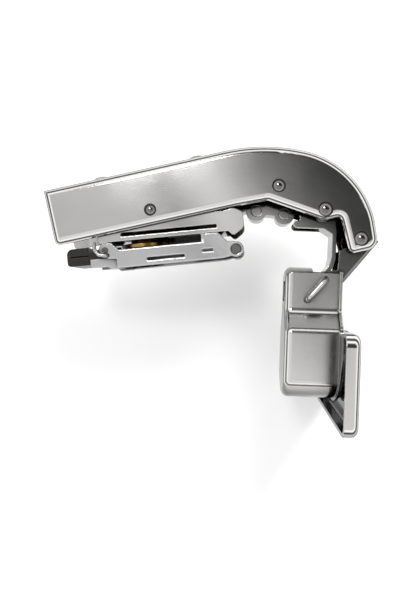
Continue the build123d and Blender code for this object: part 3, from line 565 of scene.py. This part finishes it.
@dataclass(frozen=True)
class ScrewThread:
    """Raised helical thread on an adjusting screw's shank.

    Attributes:
        node: CAD node of the screw.
        body: Body that the screw belongs to.
        reach: Place of the screw along the arm from the tilt rivet.
        foot: Lowest turn, as a height in the arm's axes.
        top: Highest turn, as a height in the arm's axes.
        radius: Radius of the shank.
        ridge: Height of the thread over the shank.
        pitch: Rise of one turn.
        flank: Half the thread's width at its root, as a share of the pitch.
        slope: Lean of the arm from the X axis, in degrees.
        tilt_pivot: X and Y of the tilt rivet, where the arm's axes start.
        steps_a_turn: Sections round one turn.
    """

    node: str
    body: str
    reach: float
    foot: float = -4.1 * MM
    top: float = 9.2 * MM
    radius: float = 1.66 * MM
    ridge: float = 0.22 * MM
    pitch: float = 0.8 * MM
    flank: float = 0.25
    slope: float = 14.5
    tilt_pivot: tuple[float, float] = (-52.4 * MM, 40.1 * MM)
    steps_a_turn: int = 28

    def surface(self) -> tuple[np.ndarray, np.ndarray]:
        """Points and faces of the thread.

        A point at turn angle t and section corner s lies on the cylinder at the shank's
        radius plus the corner's height, at the angle t, and rises by pitch times t over
        a full turn plus the corner's own offset along the screw. The ridge fades in and
        out over half a turn at either end.

        Returns:
            Vertices as an (n, 3) array and quads as an (m, 4) array.
        """
        turns = (self.top - self.foot) / self.pitch
        t = np.linspace(0.0, turns * 2 * np.pi, int(turns * self.steps_a_turn))
        fade = np.clip(np.minimum(t, t[-1] - t) / np.pi, 0.0, 1.0)
        section = [(-self.flank, 0.0), (0.0, 1.0), (self.flank, 0.0)]
        corners = np.array(section) * (self.pitch, self.ridge)
        angle, along = t[:, None], corners[None, :, 0]
        out = self.radius + corners[None, :, 1] * fade[:, None]
        rise = self.foot + self.pitch * angle / (2 * np.pi) + along
        flat = np.stack([out * np.cos(angle), np.broadcast_to(rise, out.shape), out * np.sin(angle)], -1)
        count, width = out.shape
        row = np.arange(count - 1)[:, None] * width
        ring = np.arange(width)[None, :]
        nxt = (ring + 1) % width
        quads = np.stack([row + ring, row + nxt, row + width + nxt, row + width + ring], -1)
        return self.place(flat.reshape(-1, 3)), quads.reshape(-1, 4)

    def place(self, flat: np.ndarray) -> np.ndarray:
        """Carry points from the screw's own axes to the row's.

        Args:
            flat: Points with the screw's axis along their second coordinate.

        Returns:
            The points in the row frame.
        """
        a = math.radians(self.slope)
        u, v = flat[:, 0] + self.reach, flat[:, 1]
        x = self.tilt_pivot[0] + u * math.cos(a) - v * math.sin(a)
        y = self.tilt_pivot[1] + u * math.sin(a) + v * math.cos(a)
        return np.stack([x, y, flat[:, 2]], -1)

    def build(self, shop: FinishShop) -> bpy.types.Object:
        """Make the thread's mesh, dress it and let it ride on the screw's body.

        Args:
            shop: Source of materials.

        Returns:
            The thread's object.
        """
        points, quads = self.surface()
        mesh = bpy.data.meshes.new(self.node + "_thread")
        mesh.from_pydata(points.tolist(), [], quads.tolist())
        mesh.update()
        thread = bpy.data.objects.new(self.node + "_thread", mesh)
        bpy.context.collection.objects.link(thread)
        mesh.materials.append(shop.material("bright_zinc"))
        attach(thread, self.body)
        log.info("%s: %d turns", thread.name, (self.top - self.foot) / self.pitch)
        return thread


ADJUSTING_SCREWS = (
    ScrewThread("lock_screw", "arm", -12.5 * MM, foot=-3.4 * MM),
    ScrewThread("side_screw", "tilt_screw", 14.0 * MM),
)


@dataclass(frozen=True)
class Lamp:
    """One square soft lamp over the table.

    Attributes:
        name: Lamp's name.
        place: Lamp's place in the row frame.
        size: Side of the square.
        watts: Power.
        mirrored: Whether polished metal shows it.
    """

    name: str
    place: tuple[float, float, float]
    size: float
    watts: float
    mirrored: bool = False


@dataclass(frozen=True)
class Studio:
    """Pale table, room of bright and dark panels, soft lamps and the camera over the hinge.

    Attributes:
        table_drop: Gap between the lowest solid and the table.
        table_half: Half the table's side.
        table_white: Colour of the table, the same for red, green and blue.
        table_rough: Roughness of the table.
        table_glow: Share of plain white in what the camera sees of the table.
        slant: Share of the drift along Y in the ceiling's slanted ground line.
        ceiling: Brightness of the ceiling's rear half along that line.
        front_slant: The same share for the half towards -Y.
        front: Brightness of the ceiling's front half along its own line.
        side_panel: Brightness of the front half's far end towards +X.
        side_start: Drift along X over which that end takes over.
        seam: Y of a ray over which the front half gives way to the rear half.
        least_climb: Smallest rise that a ray is reckoned with.
        overhead: Rise of a ray over which the walls give way to the ceiling.
        walls: Brightness of the walls against the climb of the ray.
        lamps: Soft lamps over the table.
        lamp_aim: Point that the lamps look at, near the middle of the hinge.
        eye: Camera's place in the row frame.
        lean: Turn of the picture's upright about the view, in degrees.
        frame_px: Width and height of the picture.
        vanishing_px: Picture point towards which the pivots' axis runs.
        focal_px: Focal length in pixels.
        sensor: Height of the camera's sensor, in millimetres.
    """

    table_drop: float = 0.05 * MM
    table_half: float = 1.5
    table_white: float = 0.93
    table_rough: float = 0.8
    table_glow: float = 0.1
    slant: float = 0.6
    ceiling: tuple[tuple[float, float], ...] = (
        (-0.12, 0.80), (-0.09, 0.78), (-0.045, 0.34), (-0.015, 0.85), (0.02, 1.15), (0.05, 1.05),
        (0.08, 0.66), (0.117, 0.38), (0.15, 0.24), (0.18, 0.16), (0.20, 0.11), (0.23, 0.06),
    )
    front_slant: float = 0.8
    front: tuple[tuple[float, float], ...] = (
        (-0.20, 1.2), (-0.04, 1.35), (0.0, 0.98), (0.05, 0.38), (0.10, 0.22), (0.20, 0.22),
    )
    side_panel: float = 1.05
    side_start: tuple[float, float] = (0.140, 0.152)
    seam: tuple[float, float] = (-0.03, 0.03)
    least_climb: float = 0.05
    overhead: tuple[float, float] = (0.72, 0.88)
    walls: tuple[tuple[float, float], ...] = (
        (0.0, 0.7), (0.10, 0.7), (0.20, 0.10), (0.45, 0.10), (0.55, 1.7), (0.75, 1.7), (1.0, 1.0),
    )
    lamps: tuple[Lamp, ...] = (
        Lamp("window", (0.20, 0.61, 0.42), 0.34, 6.2),
        Lamp("spark", (-0.16, 0.26, 0.60), 0.13, 0.9, mirrored=True),
        Lamp("fill", (-0.55, -0.15, 0.5), 0.5, 1.2),
    )
    lamp_aim: tuple[float, float, float] = (-30 * MM, 20 * MM, 0.0)
    eye: tuple[float, float, float] = (-25.74 * MM, 19.84 * MM, 168.0 * MM)
    lean: float = 2.0
    frame_px: tuple[int, int] = (400, 600)
    vanishing_px: tuple[float, float] = (251.0, 292.0)
    focal_px: float = 615.0
    sensor: float = 36.0

    def table(self, level: float) -> None:
        """Lay a flat table just under the hinge.

        Args:
            level: Height of the lowest solid.
        """
        h, z = self.table_half, level - self.table_drop
        mesh = bpy.data.meshes.new("table")
        mesh.from_pydata([(-h, -h, z), (h, -h, z), (h, h, z), (-h, h, z)], [], [(0, 1, 2, 3)])
        mesh.materials.append(self._table_material())
        table = bpy.data.objects.new("table", mesh)
        bpy.context.collection.objects.link(table)
        table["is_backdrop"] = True

    def _table_material(self) -> bpy.types.Material:
        """Matt white that the camera sees a little brighter than it is lit.

        Returns:
            The table's material.
        """
        material = bpy.data.materials.new("table_white")
        material.use_nodes = True
        tree = material.node_tree
        nodes, links = tree.nodes, tree.links
        shader = nodes["Principled BSDF"]
        shader.inputs["Base Color"].default_value = (*[self.table_white] * 3, 1.0)
        shader.inputs["Roughness"].default_value = self.table_rough
        glow = nodes.new("ShaderNodeEmission")
        path = nodes.new("ShaderNodeLightPath")
        seen = nodes.new("ShaderNodeMixShader")
        share = reckon(tree, "MULTIPLY", path.outputs["Is Camera Ray"], self.table_glow)
        links.new(share, seen.inputs["Fac"])
        links.new(shader.outputs["BSDF"], seen.inputs[1])
        links.new(glow.outputs["Emission"], seen.inputs[2])
        links.new(seen.outputs["Shader"], nodes["Material Output"].inputs["Surface"])
        return material

    def room(self) -> None:
        """World light: a ceiling of bright and dark panels over walls with a dark strip low down.

        A ray that climbs steeply meets the ceiling, any other ray a wall. The camera
        itself sees plain white.
        """
        world = bpy.data.worlds.new("panel_room")
        bpy.context.scene.world = world
        world.use_nodes = True
        tree = world.node_tree
        tree.nodes.clear()
        links = tree.links
        place = tree.nodes.new("ShaderNodeTexCoord")
        ray = tree.nodes.new("ShaderNodeSeparateXYZ")
        links.new(place.outputs["Generated"], ray.inputs[0])
        walls = self._steps(tree, ray.outputs["Z"], self.walls)
        upward = ramp(tree, ray.outputs["Z"], self.overhead, smooth=True)
        lit = blend(tree, upward, walls, self._ceiling(tree, ray))

        path = tree.nodes.new("ShaderNodeLightPath")
        light = tree.nodes.new("ShaderNodeBackground")
        out = tree.nodes.new("ShaderNodeOutputWorld")
        links.new(blend(tree, path.outputs["Is Camera Ray"], lit, 1.0), light.inputs["Strength"])
        links.new(light.outputs["Background"], out.inputs["Surface"])

    def _ceiling(self, tree: Tree, ray: bpy.types.Node) -> Socket:
        """Brightness of the ceiling, in a rear half, a front half and a panel at its +X end.

        Args:
            tree: Node tree of the world.
            ray: Node that gives the ray's X, Y and Z.

        Returns:
            The socket that gives the brightness.
        """
        climb = reckon(tree, "MAXIMUM", ray.outputs["Z"], self.least_climb)
        rear = self._panel(tree, ray, climb, self.slant, self.ceiling)
        front = self._panel(tree, ray, climb, self.front_slant, self.front)
        aside = reckon(tree, "DIVIDE", ray.outputs["X"], climb)
        front_half = blend(tree, ramp(tree, aside, self.side_start), front, self.side_panel)
        return blend(tree, ramp(tree, ray.outputs["Y"], self.seam), front_half, rear)

    def _panel(
        self,
        tree: Tree,
        ray: bpy.types.Node,
        climb: Socket,
        slant: float,
        levels: tuple[tuple[float, float], ...],
    ) -> Socket:
        """Brightness of one half of the ceiling.

        The value that the levels follow is X plus the slant times Y, over the climb.

        Args:
            tree: Node tree of the world.
            ray: Node that gives the ray's X, Y and Z.
            climb: Socket of the ray's rise.
            slant: Share of Y.
            levels: Pairs of value and brightness.

        Returns:
            The socket that gives the brightness.
        """
        drift = reckon(tree, "MULTIPLY_ADD", ray.outputs["Y"], slant, ray.outputs["X"])
        return self._steps(tree, reckon(tree, "DIVIDE", drift, climb), levels)

    def _steps(self, tree: Tree, value: Socket, levels: tuple[tuple[float, float], ...]) -> Socket:
        """Brightness that runs evenly from one level to the next.

        Args:
            tree: Node tree of the world.
            value: Socket that gives the value.
            levels: Pairs of value and brightness, in rising order of value.

        Returns:
            The socket that gives the brightness.
        """
        low, high = levels[0][0], levels[-1][0]
        top = max(level for _, level in levels)
        steps = tree.nodes.new("ShaderNodeValToRGB")
        tree.links.new(ramp(tree, value, (low, high)), steps.inputs["Fac"])
        stops = steps.color_ramp.elements
        for _ in levels[2:]:
            stops.new(1.0)
        for stop, (place, level) in zip(stops, levels):
            stop.position = (place - low) / (high - low)
            stop.color = (level / top, level / top, level / top, 1.0)
        return reckon(tree, "MULTIPLY", steps.outputs["Color"], top)

    def hang(self, lamp: Lamp) -> None:
        """Hang one lamp and turn it towards the hinge.

        Args:
            lamp: Numbers of the lamp.
        """
        data = bpy.data.lights.new(lamp.name, "AREA")
        data.shape = "SQUARE"
        data.size = lamp.size
        data.energy = lamp.watts
        hung = bpy.data.objects.new(lamp.name, data)
        aim = Vector(self.lamp_aim) - Vector(lamp.place)
        turn = aim.to_track_quat("-Z", "Y").to_matrix().to_4x4()
        hung.matrix_world = Matrix.Translation(lamp.place) @ turn
        hung.visible_glossy = lamp.mirrored
        bpy.context.collection.objects.link(hung)

    def camera(self) -> None:
        """Camera that looks straight down the pivots, framed by its shift."""
        data = bpy.data.cameras.new("camera")
        longest = max(self.frame_px)
        data.sensor_fit = "VERTICAL"
        data.sensor_height = self.sensor
        data.lens = self.focal_px / longest * self.sensor
        data.shift_x = (self.frame_px[0] / 2 - self.vanishing_px[0]) / longest
        data.shift_y = (self.vanishing_px[1] - self.frame_px[1] / 2) / longest
        data.clip_start = 0.005
        camera = bpy.data.objects.new("camera", data)
        camera.matrix_world = Matrix.Translation(self.eye) @ Matrix.Rotation(math.radians(self.lean), 4, "Z")
        bpy.context.collection.objects.link(camera)
        bpy.context.scene.camera = camera

    def build(self, level: float) -> None:
        """Set table, room, lamps and camera.

        Args:
            level: Height of the lowest solid.
        """
        self.table(level)
        self.room()
        for lamp in self.lamps:
            self.hang(lamp)
        self.camera()
        log.info("studio: table at %.4f", level)


class Hinge:
    """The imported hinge: dresses every CAD node in the finish of its record slot."""

    def __init__(self, frame: dict, shop: FinishShop) -> None:
        """Keep the frame and the materials.

        Args:
            shop: Source of materials.
        """
        self.frame = frame
        self.shop = shop

    def dress(self) -> None:
        """Give each node its material."""
        slots = {part["node"]: part["material_slot"] for part in self.frame["record"]["subparts"]}
        for name, node in self.frame["nodes"].items():
            material = self.shop.material(slots[name])
            for place in node.material_slots:
                place.material = material
            log.info("%s: %s", name, material.name)

    def threads(self) -> None:
        """Add the threads of the two adjusting screws."""
        for thread in ADJUSTING_SCREWS:
            thread.build(self.shop)


def main(frame: dict, before: Corners) -> None:
    """Dress the hinge and set the studio.

    Args:
        before: The CAD box.
    """
    logging.basicConfig(level=logging.INFO, format="%(message)s")
    bpy.context.scene.view_settings.view_transform = "Standard"
    shop = FinishShop(EffectGroups())
    hinge = Hinge(frame, shop)
    hinge.dress()
    hinge.threads()
    Studio().build(before[0][2])


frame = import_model()
cad_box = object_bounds()

if __name__ == "__main__":
    main(frame, cad_box)
